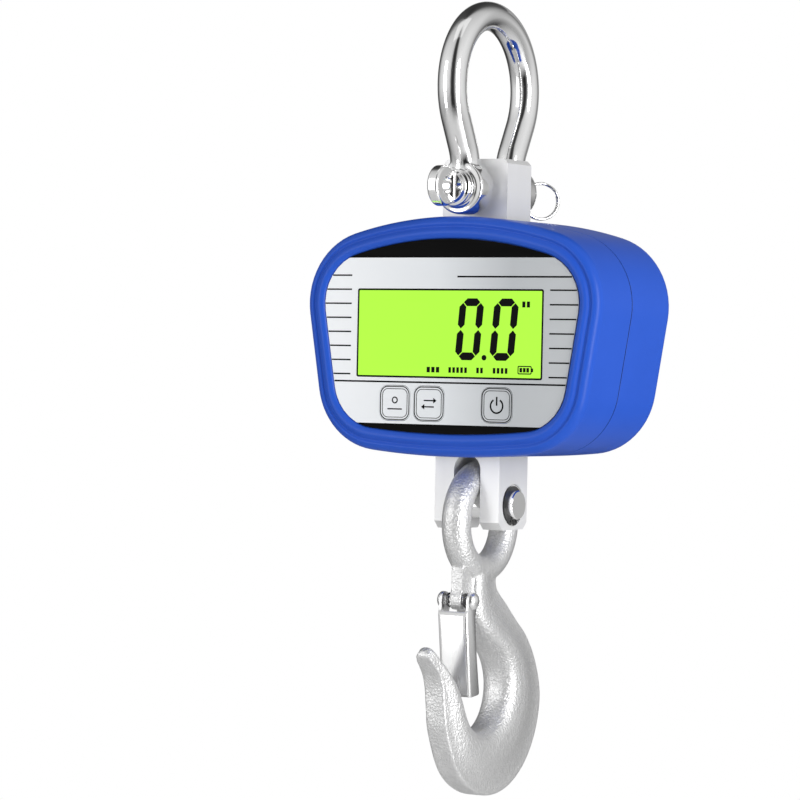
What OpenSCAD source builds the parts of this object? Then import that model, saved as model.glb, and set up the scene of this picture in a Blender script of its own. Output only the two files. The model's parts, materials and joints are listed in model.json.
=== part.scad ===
// Hanging crane scale: shackle, load-cell bar, display housing and eye hook.
// Origin: the seat inside the crown of the shackle bow. +Z up, front of the display faces -Y.

/* [Shackle] */
// Diameter of the bow's rod
rod_d = 16; // [14:0.5:17]
// Radius of the bow's centreline
bow_r = 39.75; // [38:0.25:42]
// Diameter of the shackle pin
pin_d = 15; // [13:0.5:16]
// Height of the pin axis
pin_z = -87.5; // [-92:0.5:-86]

/* [Load cell] */
// Width of the bar across the display
bar_w = 40.5; // [38:0.5:44]
// Depth of the upper lug and of the bar in the housing
lug_t = 26; // [24:0.5:28]
// Depth of the lower clevis
clevis_t = 31; // [29:0.5:34]
// Height of the hook pin axis
hook_pin_z = -259.4; // [-262:0.1:-257]
// Diameter of the hook pin
hook_pin_d = 16; // [14:0.5:17]

/* [Housing] */
// Top of the housing
case_top = -103.2; // [-105:0.1:-103]
// Bottom of the housing
case_bottom = -233.5; // [-235:0.5:-231]
// Front rim of the housing
case_front = -39.8; // [-42:0.2:-38]
// Rear face of the housing
case_rear = 45.7; // [44:0.1:50]
// Wall thickness
wall = 3; // [2:0.25:4]

/* [Hook] */
// Inner radius of the hook's bowl
bowl_r = 24; // [22:0.5:26]
// Outer radius of the hook's back
back_r = 53; // [50:0.5:55]

/* [Hidden] */
$fn = 64;
eps = 0.01;
running = 0.06;         // radial clearance of a turning fit
gap = 0.3;              // clearance between parts that move past each other

// ---- shared outlines -------------------------------------------------------------------

// Points of an arc from angle a0 to a1, both ends included
function arc(c, r, a0, a1, n) = [for (i = [0:n]) let (a = a0 + (a1 - a0) * i / n)
    [c[0] + r * cos(a), c[1] + r * sin(a)]];

// The housing's outline is five arcs a side: arched top, shoulder, straight flank, lower
// corner and gently bulging bottom. Every inset is a parallel curve on the same centres.
top_r = 226;
shoulder_r = 39.8;
corner_r = 38.9;
shoulder_a = 73.8;        // where the top arc meets the shoulder
flank_a = 9.35;          // lean of the flanks
flank_l = 42.2;
shoulder_c = [(top_r - shoulder_r) * cos(shoulder_a),
    case_top - top_r + (top_r - shoulder_r) * sin(shoulder_a)];
corner_c = [shoulder_c[0] + (shoulder_r - corner_r) * cos(flank_a) - flank_l * sin(flank_a),
    shoulder_c[1] - (shoulder_r - corner_r) * sin(flank_a) - flank_l * cos(flank_a)];
corner_h = corner_c[1] - case_bottom;
bottom_r = (pow(corner_c[0], 2) + pow(corner_h, 2) - pow(corner_r, 2)) / (2 * (corner_h - corner_r));
bottom_a = asin(corner_c[0] / (bottom_r - corner_r));

function half_outline(d) = concat(
    arc([0, case_top - top_r], top_r - d, 90, shoulder_a, 7),
    arc(shoulder_c, shoulder_r - d, shoulder_a - 9, -flank_a, 7),
    arc(corner_c, corner_r - d, -flank_a, -90 + bottom_a, 7),
    arc([0, case_bottom + bottom_r], bottom_r - d, -90 + bottom_a * 0.75, -90, 3));
function outline(d) = let (h = half_outline(d), n = len(h))
    concat(h, [for (i = [n - 2:-1:1]) [-h[i][0], h[i][1]]]);

// A slab with the housing's outline, inset by d, from y0 to y1
module slab(d, y0, y1) translate([0, y1, 0]) rotate([90, 0, 0])
    linear_extrude(y1 - y0) polygon(outline(d));
// A box from its two corners
module block(a, b) translate(a) cube(b - a);
// A cylinder along Y from y0 to y1
module rod_y(d, y0, y1, x = 0, z = 0) translate([x, y1, z]) rotate([90, 0, 0])
    cylinder(d = d, h = y1 - y0);
// A cylinder along X from x0 to x1
module rod_x(d, x0, x1, y = 0, z = 0) translate([x0, y, z]) rotate([0, 90, 0])
    cylinder(d = d, h = x1 - x0);
// A rounded rectangle in XZ, w wide and h tall, from y0 to y1
module tile(w, h, r, y0, y1, x, z) translate([x, y1, z]) rotate([90, 0, 0])
    linear_extrude(y1 - y0) polygon(concat(
        arc([w / 2 - r, h / 2 - r], r, 0, 90, 5), arc([-w / 2 + r, h / 2 - r], r, 90, 180, 5),
        arc([-w / 2 + r, -h / 2 + r], r, 180, 270, 5), arc([w / 2 - r, -h / 2 + r], r, 270, 360, 5)));
module mirrored_x() { children(); mirror([1, 0, 0]) children(); }
module mirrored_y() { children(); mirror([0, 1, 0]) children(); }

// ---- shackle ---------------------------------------------------------------------------

crown_z = rod_d / 2 - bow_r;     // centre of the bow's arc
flare = 28;             // how far the bow's arc runs past the horizontal
ear_in = 17;
ear_out = 31;
ear_d = 29;
ear_y = (ear_in + ear_out) / 2;
bend_r = 30;            // the limbs bend back to vertical on this radius
limb_l = (bow_r * cos(flare) - bend_r * (1 - cos(flare)) - ear_y) / sin(flare);
limb_z = crown_z - bow_r * sin(flare) - limb_l * cos(flare) - bend_r * sin(flare);

// Turns a shape made about Z so that its axis is X, its angle 0 is +Y and 90 is +Z
module about_x() rotate([90, 0, 90]) children();

// The bow's centreline, [y, z], from the front ear over the crown to the rear ear
rear_bend = arc([ear_y + bend_r, limb_z], bend_r, 180 - flare, 180, 5);
crown_arc = arc([0, crown_z], bow_r, 180 + flare, -flare, 34);
front_bend = [for (i = [len(rear_bend) - 1:-1:0]) [-rear_bend[i][0], rear_bend[i][1]]];
bow_path = concat([[-ear_y, pin_z + 8]], front_bend, crown_arc, rear_bend, [[ear_y, pin_z + 8]]);
bow_sides = 24;
function bow_ring(i) = let (last = len(bow_path) - 1, p = bow_path[i],
    t = bow_path[min(i + 1, last)] - bow_path[max(i - 1, 0)], u = t / norm(t))
    [for (k = [0:bow_sides - 1]) let (a = 360 * k / bow_sides, r = rod_d / 2)
        [r * cos(a), p[0] - r * sin(a) * u[1], p[1] + r * sin(a) * u[0]]];

module shackle_bow() color("silver") difference() {
    union() {
        skin([for (i = [0:len(bow_path) - 1]) bow_ring(i)]);
        mirrored_y() translate([0, ear_in, pin_z]) rotate([-90, 0, 0]) rotate_extrude()
            polygon([[0, 0], [ear_d / 2 - 2, 0], [ear_d / 2, 2], [ear_d / 2, 11],
                [ear_d / 2 - 3, ear_out - ear_in], [11, ear_out - ear_in],
                [10.5, ear_out - ear_in + 1.5], [0, ear_out - ear_in + 1.5]]);
    }
    rod_y(pin_d + 2 * running, -ear_out - 2, ear_out + 2, 0, pin_z);
}

spade_y = -48.5;        // centre of the flat eye head
spade_r = 11;
spade_t = 6.8;
eye_d = 8.6;
tail_d = 10;
tail_end = 48;
ring_y = 42;            // cross hole in the pin's tail
ring_r = 10;
wire_d = 1.6;
ring_turn = 45;         // the ring's plane, turned about Z from the display's plane
ring_drop = 20;         // how far the ring's centre hangs below the pin axis, as an angle

// Places a shape made in the ring's own frame: origin in the hole, X out along its radius
module ring_frame() translate([0, ring_y, pin_z]) rotate([0, 0, ring_turn])
    rotate([0, ring_drop, 0]) children();

module shackle_pin() color("gainsboro") difference() {
    union() {
        translate([0, 0, pin_z]) rotate([-90, 0, 0]) rotate_extrude() polygon([[0, -39.5],
            [8.5, -39.5], [8.5, -37.5], [10.5, -37], [10.5, -33.2], [10, -ear_out - 1.5 - 0.2],
            [pin_d / 2, -ear_out - 1.5 - 0.2], [pin_d / 2, 34.5], [tail_d / 2, 36],
            [tail_d / 2, tail_end - 1], [tail_d / 2 - 1, tail_end], [0, tail_end]]);
        rod_x(2 * spade_r, -spade_t / 2, spade_t / 2, spade_y, pin_z);
        translate([-spade_t / 2, 0, pin_z]) about_x() linear_extrude(spade_t) polygon([
            [spade_y + 2, spade_r - 0.2], [-39, 8.2], [-39, -8.2], [spade_y + 2, -spade_r + 0.2]]);
    }
    rod_x(eye_d, -spade_t, spade_t, spade_y, pin_z);
    ring_frame() translate([0, 0, -tail_d]) cylinder(d = 6.6, h = 2 * tail_d);
}

module pin_ring() color("silver") ring_frame() translate([ring_r, 0, 0]) rotate([90, 0, 0])
    rotate_extrude() translate([ring_r, 0]) {
        translate([0, wire_d * 0.46]) circle(d = wire_d, $fn = 20);
        translate([0, -wire_d * 0.46]) circle(d = wire_d, $fn = 20);
    }

// ---- load cell and the pins in it ------------------------------------------------------

lug_top = -71;
bar_low = -226;         // the bar widens to the clevis here, inside the housing
clevis_low = -273;
slot_w = 16.6;
slot_top = -232.2;
gauge_z = -168;
gauge_d = 22;
gauge_depth = 7;
bolt_z = [-135, -205];

module load_cell() color("lightgray") difference() {
    union() {
        translate([0, lug_t / 2, 0]) rotate([90, 0, 0]) linear_extrude(lug_t) polygon([
            [-bar_w / 2, bar_low - eps], [bar_w / 2, bar_low - eps], [bar_w / 2, lug_top - 2.5],
            [bar_w / 2 - 2.5, lug_top], [-bar_w / 2 + 2.5, lug_top], [-bar_w / 2, lug_top - 2.5]]);
        translate([-bar_w / 2, 0, 0]) about_x() linear_extrude(bar_w) polygon([
            [-clevis_t / 2, bar_low], [-clevis_t / 2, clevis_low + 4], [-clevis_t / 2 + 4, clevis_low],
            [clevis_t / 2 - 4, clevis_low], [clevis_t / 2, clevis_low + 4], [clevis_t / 2, bar_low]]);
    }
    rod_y(pin_d + 2 * running, -lug_t, lug_t, 0, pin_z);
    rod_y(slot_w, -clevis_t, clevis_t, 0, slot_top - slot_w / 2);
    block([-slot_w / 2, -clevis_t, clevis_low - 1], [slot_w / 2, clevis_t, slot_top - slot_w / 2]);
    rod_x(hook_pin_d + 2 * running, -bar_w, bar_w, 0, hook_pin_z);
    mirrored_x() rod_x(23, bar_w / 2 - 1.2, bar_w, 0, hook_pin_z);
    mirrored_y() rod_y(gauge_d, -lug_t, -lug_t / 2 + gauge_depth, 0, gauge_z);
    for (z = bolt_z) mirrored_x() rod_x(5, bar_w / 2 - 10, bar_w, 0, z);
}

module gauge_covers() color("dimgray") mirrored_y()
    rod_y(gauge_d - 0.4, -lug_t / 2, -lug_t / 2 + 1.2, 0, gauge_z);

pin_end = 24;
clip_x = bar_w / 2 - 1.0;
module hook_pin() color("gainsboro") mirrored_x() translate([0, 0, hook_pin_z]) rotate([0, 90, 0])
    rotate_extrude() polygon([[0, 0], [hook_pin_d / 2, 0], [hook_pin_d / 2, clip_x],
        [hook_pin_d / 2 - 0.7, clip_x], [hook_pin_d / 2 - 0.7, clip_x + 1.3],
        [hook_pin_d / 2, clip_x + 1.3], [hook_pin_d / 2, pin_end - 0.6],
        [hook_pin_d / 2 - 0.6, pin_end], [0, pin_end]]);

module circlips() color("dimgray") mirrored_x() difference() {
    union() {
        rod_x(20.6, clip_x + 0.1, clip_x + 1.2, 0, hook_pin_z);
        for (s = [-1, 1]) rod_x(4.4, clip_x + 0.1, clip_x + 1.2, 2.7 * s, hook_pin_z - 8.9);
    }
    rod_x(hook_pin_d - 1.2, clip_x - 1, clip_x + 2, 0, hook_pin_z);
    block([clip_x - 1, -1, hook_pin_z - 14], [clip_x + 2, 1, hook_pin_z]);
    for (s = [-1, 1]) rod_x(1.6, clip_x - 1, clip_x + 2, 2.7 * s, hook_pin_z - 8.9);
}

// ---- housing ---------------------------------------------------------------------------

seam_y = -1;
rim_w = 12.3;           // width of the rim around the panel
panel_y = case_front + 1.5;         // front of the face panel
panel_t = 1.2;
deck_y = panel_y + panel_t;                 // the front wall that the panel is stuck to
screen_w = 118;
screen_h = 50.2;
screen_z = -166.8;
window_w = screen_w - 4;
window_h = screen_h - 4;
key_w = 18.9;
key_x = [-33.1, -11.5, 30.8];
key_z = -204.9;
ir_at = [8, -218.4];     // the receiver looks out through the dark film below the keys
cavity_y = deck_y + wall;
screw_at = [[66, -140], [61, -212]];        // case screws, both sides
tunnel_w = bar_w + 2 * gap;

// The bar's way through the housing's top and bottom
module bar_way() {
    block([-tunnel_w / 2, -lug_t / 2 - gap, -140], [tunnel_w / 2, lug_t / 2 + gap, -90]);
    block([-tunnel_w / 2, -clevis_t / 2 - gap, -250], [tunnel_w / 2, clevis_t / 2 + gap, -220]);
}
seal_w = 2.5;
module seal_way() {
    block([-tunnel_w / 2 - seal_w, -lug_t / 2 - seal_w, -140], [tunnel_w / 2 + seal_w, lug_t / 2 + seal_w, -90]);
    block([-tunnel_w / 2 - seal_w, -clevis_t / 2 - seal_w, -250],
        [tunnel_w / 2 + seal_w, clevis_t / 2 + seal_w, -220]);
}

module front_shell() color("royalblue") difference() {
    union() {
        difference() {
            union() {
                slab(0, case_front + 5, seam_y);
                slab(1.2, case_front + 2.9, case_front + 5);
                slab(3, case_front + 0.9, case_front + 2.9);
                slab(6.6, case_front, case_front + 0.9);
            }
            slab(rim_w, case_front - 5, deck_y);
            slab(wall, cavity_y, seam_y + 1);
        }
        for (p = screw_at) mirrored_x() rod_y(9, cavity_y - 1, seam_y, p[0], p[1]);
    }
    for (p = screw_at) mirrored_x() rod_y(3.3, seam_y - 14, seam_y + 1, p[0], p[1]);
    tile(window_w + 8, window_h + 8, 2, case_front - 5, cavity_y + 1, 0, screen_z);
    for (x = key_x) rod_y(8, case_front - 5, cavity_y + 1, x, key_z);
    rod_y(5.2, deck_y - 1, cavity_y + 1, ir_at[0], ir_at[1]);
    seal_way();
}

module rear_shell() color("royalblue") difference() {
    union() {
        difference() {
            union() {
                slab(0, seam_y, case_rear - 3.5);
                slab(1, case_rear - 3.5, case_rear - 1.2);
                slab(2.6, case_rear - 1.2, case_rear);
            }
            slab(wall, seam_y - 1, case_rear - wall);
        }
        for (p = screw_at) mirrored_x() rod_y(9, seam_y, case_rear - 2, p[0], p[1]);
        for (z = bolt_z) mirrored_x() rod_y(9, 9, case_rear - 2, strap_x, z);
    }
    for (z = bolt_z) mirrored_x() rod_y(3.3, 8, 22, strap_x, z);
    for (p = screw_at) mirrored_x() {
        rod_y(4.2, seam_y - 1, case_rear + 1, p[0], p[1]);
        rod_y(8, case_rear - 4, case_rear + 1, p[0], p[1]);
    }
    tile(bay_w, bay_h, 5, 30, case_rear + 1, 0, bay_z);
    tile(lid_w + 2 * gap, lid_h + 2 * gap, 7, case_rear - 1.8, case_rear + 1, 0, bay_z);
    rod_y(socket_d + 2 * running, 30, case_rear + 1, socket_x, socket_z);
    seal_way();
}

// A thin cord seal pressed between the two shells
module case_gasket() color("black") difference() {
    slab(wall + 0.05, seam_y - 2, seam_y + 2);
    slab(wall + 1.2, seam_y - 3, seam_y + 3);
    seal_way();
}

module case_screws() color("gray") for (p = screw_at) mirrored_x() difference() {
    union() {
        rod_y(7, case_rear - 4, case_rear - 1.2, p[0], p[1]);
        rod_y(3.2, seam_y - 12, case_rear - 3.9, p[0], p[1]);
    }
    rod_y(3, case_rear - 2.8, case_rear, p[0], p[1]);
}

// Angle straps from the bar's sides to bosses in the rear shell
strap_x = bar_w / 2 + 19;
module cell_brackets() color("gray") for (z = bolt_z) mirrored_x() difference() {
    union() {
        block([bar_w / 2, -9, z - 8], [bar_w / 2 + 2, 9, z + 8]);
        block([bar_w / 2, 7, z - 8], [bar_w / 2 + 26, 9, z + 8]);
    }
    rod_x(5.4, bar_w / 2 - 1, bar_w / 2 + 3, 0, z);
    rod_y(4.2, 6, 10, strap_x, z);
}

module bracket_bolts() color("silver") for (z = bolt_z) mirrored_x() {
    difference() {
        union() {
            rod_x(4.9, bar_w / 2 - 8, bar_w / 2 + 2.1, 0, z);
            rod_x(8.5, bar_w / 2 + 2, bar_w / 2 + 6, 0, z);
        }
        translate([bar_w / 2 + 4, 0, z]) rotate([0, 90, 0]) cylinder(d = 4.6, h = 4, $fn = 6);
    }
    difference() {
        union() {
            rod_y(3.2, 6.9, 19, strap_x, z);
            rod_y(7, 4.5, 7, strap_x, z);
        }
        rod_y(3, 4, 5.8, strap_x, z);
    }
}

// A rubber collar around the bar, wt wide and dp deep
module collar(dp, z0, z1) difference() {
    block([-tunnel_w / 2 - seal_w + 0.05, -dp / 2 - seal_w + 0.05, z0],
        [tunnel_w / 2 + seal_w - 0.05, dp / 2 + seal_w - 0.05, z1]);
    block([-bar_w / 2 - 0.05, -dp / 2 - 0.05, z0 - 1], [bar_w / 2 + 0.05, dp / 2 + 0.05, z1 + 1]);
}
module top_seal() color("black") collar(lug_t, case_top - 6, case_top - 1.8);
module bottom_seal() color("black") collar(clevis_t, case_bottom + 0.8, case_bottom + 4.5);

// ---- display side ----------------------------------------------------------------------

module face_panel() color("whitesmoke") difference() {
    slab(rim_w + 0.1, panel_y, deck_y);
    tile(window_w, window_h, 1, panel_y - 1, deck_y + 1, 0, screen_z);
    for (x = key_x) tile(key_w + 2 * gap, key_w + 2 * gap, 5, panel_y - 1, deck_y + 1, x, key_z);
}
module display_window() color("greenyellow")
    tile(window_w - 0.1, window_h - 0.1, 1, panel_y, deck_y, 0, screen_z);
module lcd_glass() color("yellowgreen") tile(window_w + 4, window_h + 4, 0.5,
    deck_y + 1.6, deck_y + 4, 0, screen_z);
module backlight() color("white") tile(window_w + 3, window_h + 3, 0.5,
    deck_y + 4.1, deck_y + 7.6, 0, screen_z);
module lcd_frame() color("dimgray") difference() {
    tile(window_w + 7, window_h + 7, 1.5, deck_y + 1.3, deck_y + 8.8, 0, screen_z);
    tile(window_w - 1, window_h - 1, 1, deck_y, deck_y + 4, 0, screen_z);
    tile(window_w + 4.1, window_h + 4.1, 0.5, deck_y + 1.6, deck_y + 7.7, 0, screen_z);
    tile(60, 30, 3, deck_y + 7, deck_y + 10, 0, screen_z);
}

board_y = deck_y + 10.8;
board_t = 1.6;
post_at = [[54, -136.3], [50, -215]];
module main_board() color("darkgreen") difference() {
    tile(118, 91, 3, board_y, board_y + board_t, 0, -177);
    for (p = post_at) mirrored_x() rod_y(3.2, board_y - 1, board_y + 3, p[0], p[1]);
    mirrored_x() rod_y(10, board_y - 1, board_y + 3, screw_at[1][0], screw_at[1][1]);
}
module board_posts() color("lightgray") for (p = post_at) mirrored_x() difference() {
    rod_y(6.4, cavity_y, board_y, p[0], p[1]);
    rod_y(2.5, cavity_y + 2, board_y + 1, p[0], p[1]);
}
module board_screws() color("silver") for (p = post_at) mirrored_x() {
    rod_y(5.4, board_y + board_t, board_y + board_t + 1.8, p[0], p[1]);
    rod_y(2.4, board_y - 5, board_y + board_t + eps, p[0], p[1]);
}
chip_y = board_y + board_t;
module processor_chip() color("black") block([-42, chip_y, -176], [-28, chip_y + 1.6, -162]);
module adc_chip() color("black") block([28, chip_y, -172], [38, chip_y + 1.6, -165]);
module cell_connector() color("ivory") difference() {
    block([30, chip_y, -196], [42, chip_y + 6, -190]);
    block([31, chip_y + 1, -195], [41, chip_y + 7, -191]);
}
module key_domes() color("silver") for (x = key_x) translate([x, board_y, key_z])
    rotate([90, 0, 0]) rotate_extrude() polygon([[0, 0], [4.5, 0], [4.2, 0.8], [2.5, 1.3], [0, 1.5]]);
module ir_receiver() color("black") {
    rod_y(5, deck_y + 0.2, board_y - 5, ir_at[0], ir_at[1]);
    block([ir_at[0] - 3, board_y - 5, ir_at[1] - 3.5], [ir_at[0] + 3, board_y, ir_at[1] + 3.5]);
}
module buzzer() color("black") difference() {
    rod_y(12, chip_y, chip_y + 7, -48, -200);
    rod_y(2, chip_y + 5, chip_y + 8, -48, -200);
}

// One key: a rounded plate level with the panel, on a stem that reaches its dome
module key(x) {
    tile(key_w, key_w, 4.7, panel_y - 0.2, deck_y - 0.7, x, key_z);
    rod_y(6, deck_y - 0.8, board_y - 2.2, x, key_z);
}
module key_tare() color("whitesmoke") key(key_x[0]);
module key_hold() color("whitesmoke") key(key_x[1]);
module key_power() color("whitesmoke") key(key_x[2]);

// ---- battery side ----------------------------------------------------------------------

bay_w = 84;
bay_h = 50;
bay_z = -170;
lid_w = 96;
lid_h = 62;
module battery_pack() color("darkslateblue") for (i = [-1, 0, 1])
    translate([-34, 31, bay_z + i * 15.2]) rotate([0, 90, 0]) cylinder(d = 14.8, h = 68);
module battery_cradle() color("dimgray") difference() {
    block([-40, 20, bay_z - 24.5], [40, 40, bay_z + 24.5]);
    for (i = [-1, 0, 1]) rod_x(15, -35, 35, 31, bay_z + i * 15.2);
    block([-35, 31, bay_z - 22.7], [35, 41, bay_z + 22.7]);
}
lid_at = [[43.5, 26.5]];
module battery_cover() color("royalblue") difference() {
    union() {
        tile(lid_w, lid_h, 6.7, case_rear - 1.7, case_rear + 0.8, 0, bay_z);
        tile(bay_w - 1.6, bay_h - 1.6, 4.2, case_rear - 5, case_rear - 1.6, 0, bay_z);
    }
    tile(bay_w - 5, bay_h - 5, 3, case_rear - 6, case_rear - 1.7, 0, bay_z);
    for (s = [-1, 1]) mirrored_x() rod_y(3.4, case_rear - 3, case_rear + 2, lid_at[0][0] + 1, bay_z + s * 27);
}
module cover_gasket() color("black") difference() {
    tile(bay_w - 0.2, bay_h - 0.2, 4.9, case_rear - 3, case_rear - 1.8, 0, bay_z);
    tile(bay_w - 1.4, bay_h - 1.4, 4.3, case_rear - 4, case_rear - 1, 0, bay_z);
}
module cover_screws() color("silver") for (s = [-1, 1]) mirrored_x() {
    rod_y(6, case_rear + 0.8, case_rear + 2.2, lid_at[0][0] + 1, bay_z + s * 27);
    rod_y(3.1, case_rear - 1.6, case_rear + 0.9, lid_at[0][0] + 1, bay_z + s * 27);
}

socket_x = 30;
socket_z = -219;
socket_d = 11;
module charge_socket() color("black") difference() {
    union() {
        rod_y(socket_d, case_rear - 14, case_rear - 0.2, socket_x, socket_z);
        rod_y(14, case_rear, case_rear + 1.5, socket_x, socket_z);
        rod_y(socket_d, case_rear - 0.3, case_rear + 0.1, socket_x, socket_z);
    }
    difference() {
        rod_y(5.6, case_rear - 10, case_rear + 3, socket_x, socket_z);
        rod_y(2.1, case_rear - 11, case_rear - 1, socket_x, socket_z);
    }
}
module socket_nut() color("silver") translate([socket_x, case_rear - wall, socket_z]) rotate([90, 0, 0])
    difference() {
        cylinder(d = 16, h = 2.5, $fn = 6);
        translate([0, 0, -1]) cylinder(d = socket_d + 0.1, h = 5);
    }
// Rubber cap on a strap that bends just above the socket
cap_hinge_z = socket_z + 10;
module socket_cap() color("black") {
    rod_y(12, case_rear + 1.6, case_rear + 3.6, socket_x, socket_z);
    rod_y(4.4, case_rear + 0.5, case_rear + 1.7, socket_x, socket_z);
    block([socket_x - 2.5, case_rear + 1.9, socket_z + 4], [socket_x + 2.5, case_rear + 3.3, cap_hinge_z]);
    rod_x(2.2, socket_x - 2.5, socket_x + 2.5, case_rear + 2.2, cap_hinge_z);
}

// Leads inside the housing: tubes swept along a few points as straight runs with ball joints
module lead(points, d) for (i = [0:len(points) - 2]) hull() {
    translate(points[i]) sphere(d = d, $fn = 10);
    translate(points[i + 1]) sphere(d = d, $fn = 10);
}
module cell_cable() color("gray")
    lead([[0, -lug_t / 2 - 1.5, -174], [14, -16, -184], [27, chip_y + 8.2, -190], [36, chip_y + 9, -193],
        [36, chip_y + 4.5, -193]], 3);
module battery_lead() color("red")
    lead([[-44, 30, -176], [-50, 14, -180], [-47, -8, -186], [-42, -18, -189], [-40, chip_y + 1.5, -190]], 3);

// ---- hook ------------------------------------------------------------------------------

eye_r = 26;
eye_rod = 8;
eye_z = hook_pin_z + hook_pin_d / 2 + 0.1 - (eye_r - eye_rod);
bowl_c = [-4, -360];
back_c = [7.5, -367];
function on(c, r, a) = [c[0] + r * cos(a), c[1] + r * sin(a)];

// Stations along the hook from the neck to the tip: inner point, outer point, half thickness
// of the saddle side and of the rim
bowl_stations = [for (a = [10:-24:-134]) let (s = (58 - a) / 216)
    [on(bowl_c, bowl_r, a), on(back_c, back_r, a - 14 * (1 - s)), 11.6 - 1.4 * s, 6.4]];
stations = concat([
    [[-11, -292], [11, -292], 6.2, 5],
    [[-13, -297], [9.5, -297], 7.6, 5.5],
    [[-14, -308], [10.5, -306], 8, 5.5],
    [[-13.5, -320], [21.5, -315.5], 9, 6],
    [[-6, -329.5], [32.5, -324.8], 10.4, 6.2],
    [[8.7, -339.6], [43.5, -333.8], 11.4, 6.4],
    [[15.9, -346.6], [54.3, -348.5], 11.5, 6.4]],
    bowl_stations, [
    [[-25.2, -371], [-42, -383], 10, 6.2],
    [[-30, -361.5], [-45.2, -368.5], 9.4, 6],
    [[-36, -353.9], [-46.6, -358.6], 8.7, 6],
    [[-42.5, -347.5], [-49.5, -350.8], 7.8, 5.8],
    [[-47.8, -342.5], [-53.8, -346], 6.6, 5.4],
    [[-51.6, -338.4], [-57.6, -342.2], 5.4, 4.8],
    [[-53.6, -336.2], [-59.2, -339.8], 4.2, 3.9],
    [[-55.4, -335], [-58.6, -337.2], 2.4, 2.1]]);

// Half of one section: share of the way from the saddle to the rim, share of the half
// thickness, and how far that is the rim's half thickness rather than the saddle's
section = [[0, 0.55, 0], [0.05, 0.86, 0], [0.16, 1, 0], [0.42, 0.98, 0.1], [0.7, 1, 0.6], [0.95, 1.02, 1],
    [1, 0.8, 1]];
function across(s, q) = q[1] * (s[2] * (1 - q[2]) + s[3] * q[2]);
function along(s, q) = s[0] + (s[1] - s[0]) * q[0];
function ring_points(s) = let (n = len(section)) concat(
    [for (q = section) [across(s, q), along(s, q)[0], along(s, q)[1]]],
    [for (k = [n - 1:-1:0]) let (q = section[k]) [-across(s, q), along(s, q)[0], along(s, q)[1]]]);
// A closed skin over rings of n points each, with an end cap on the first and last ring, or
// with the last ring joined to the first
module skin(rings, loop = false) {
    n = len(rings[0]);
    m = len(rings);
    polyhedron(points = [for (r = rings) each r],
        faces = concat(loop ? [] : [[for (k = [n - 1:-1:0]) k], [for (k = [0:n - 1]) (m - 1) * n + k]],
            [for (j = [0:m - (loop ? 1 : 2)]) for (k = [0:n - 1])
                let (a = j * n, b = (j + 1) % m * n, k2 = (k + 1) % n)
                each [[a + k, a + k2, b + k2], [a + k, b + k2, b + k]]]));
}

// The eye's rings, clockwise seen from +X
eye_rings = [for (i = [0:39]) let (a = -i * 9) [for (k = [0:19]) let (t = 18 * k - 90)
    [eye_rod * cos(t), (eye_r + eye_rod * sin(t)) * cos(a), eye_z + (eye_r + eye_rod * sin(t)) * sin(a)]]];

latch_y = -22.3;
latch_z = -311.5;
boss_w = 7;
rivet_d = 5;
module hook() color("silver") difference() {
    union() {
        skin(eye_rings, loop = true);
        skin([for (s = stations) ring_points(s)]);
        translate([-boss_w / 2, 0, 0]) about_x() linear_extrude(boss_w) polygon([[-6, -292],
            [-23, -291.5], [-24.5, -293], [-24.5, -306], [-26.5, -309], [-26.5, -313.5], [-24, -316.5],
            [-8, -318]]);
    }
    rod_x(rivet_d + 0.02, -20, 20, latch_y, latch_z);
}

latch_w = 18.6;
sheet_t = 1.6;
module latch_pin() color("gainsboro") {
    rod_x(rivet_d, -latch_w / 2 - 0.3, latch_w / 2 + 0.3, latch_y, latch_z);
    mirrored_x() translate([latch_w / 2 + 0.2, latch_y, latch_z]) rotate([0, 90, 0])
        rotate_extrude() polygon([[0, 0], [4.75, 0], [4.6, 0.9], [3.6, 2], [1.8, 2.7], [0, 2.9]]);
}
module latch_spring() color("gray") mirrored_x() {
    for (i = [0:1]) translate([boss_w / 2 + 0.9 + i * 1.3, latch_y, latch_z]) rotate([0, 90, 0])
        rotate_extrude() translate([3.5, 0]) circle(d = 1.1, $fn = 16);
    rod_x(1.1, boss_w / 2 + 0.9, boss_w / 2 + 2.2, latch_y, latch_z + 3.5);
}

lean = 7;               // the closed latch leans in by this much
latch_len = 52;
module latch() color("whitesmoke") translate([0, latch_y, latch_z]) rotate([lean, 0, 0]) difference() {
    union() {
        // web in front, from below the pivot to the free end
        block([-latch_w / 2, -7.8, -latch_len], [latch_w / 2, -7.8 + sheet_t, -7]);
        mirrored_x() {
            translate([latch_w / 2 - sheet_t, 0, 0]) about_x() linear_extrude(sheet_t) polygon([
                [-7.8, -7], [-4.9, -3.5], [-4.9, 1], [-3, 4.2], [1, 4.8], [4.2, 2.4], [4.9, -2],
                [1.6, -9], [1.4, -30], [2.4, -latch_len], [-7.8, -latch_len]]);
        }
    }
    rod_x(rivet_d + 2 * running, -20, 20, 0, 0);
}

// ---- drawing ---------------------------------------------------------------------------

shackle_bow();
shackle_pin();
pin_ring();
load_cell();
gauge_covers();
front_shell();
rear_shell();
case_gasket();
case_screws();
cell_brackets();
bracket_bolts();
top_seal();
bottom_seal();
face_panel();
display_window();
lcd_glass();
lcd_frame();
backlight();
main_board();
board_posts();
board_screws();
processor_chip();
adc_chip();
cell_connector();
key_domes();
ir_receiver();
buzzer();
battery_pack();
battery_cradle();
battery_cover();
cover_gasket();
cover_screws();
charge_socket();
socket_nut();
socket_cap();
cell_cable();
battery_lead();
key_tare();
key_hold();
key_power();
hook_pin();
circlips();
hook();
latch_pin();
latch_spring();
latch();
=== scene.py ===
"""Looks of the hanging crane scale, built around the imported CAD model. Sizes are in millimetres
until a mesh is made, then in metres."""
import json
import math

import bmesh
import bpy
import numpy as np
from mathutils import Matrix, Vector


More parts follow.
